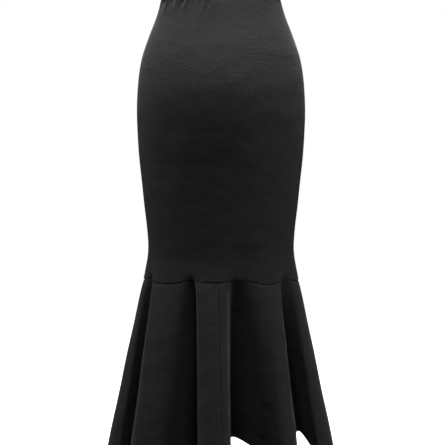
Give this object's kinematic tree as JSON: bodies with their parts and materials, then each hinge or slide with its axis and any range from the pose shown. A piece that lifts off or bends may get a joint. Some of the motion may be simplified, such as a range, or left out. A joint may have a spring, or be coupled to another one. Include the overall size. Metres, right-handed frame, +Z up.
{
  "type": "mermaid fishtail skirt",
  "caption": "Long fitted black skirt, worn and hollow, with an elastic waistband, a smooth tube to the knee and a flared fluted flounce below a wavy knee seam.",
  "frame": {"origin": "middle of the waistband, on the skirt's vertical axis, where the wearer's waist holds it", "axes": "+Z up towards the waist, -Y the garment's back, +X the right of a viewer who looks at the back"},
  "size_m": [0.4936, 0.4136, 1.0018],
  "materials": {
    "black_crepe": "matte stretch crepe with a fine uneven horizontal ripple",
    "band_crepe": "the same crepe drawn over elastic"
  },
  "bodies": {
    "root": {"waistband": "band_crepe", "back_panel": "black_crepe", "front_panel": "black_crepe", "flounce_left": "black_crepe", "flounce_right": "black_crepe"}
  },
  "joints": []
}
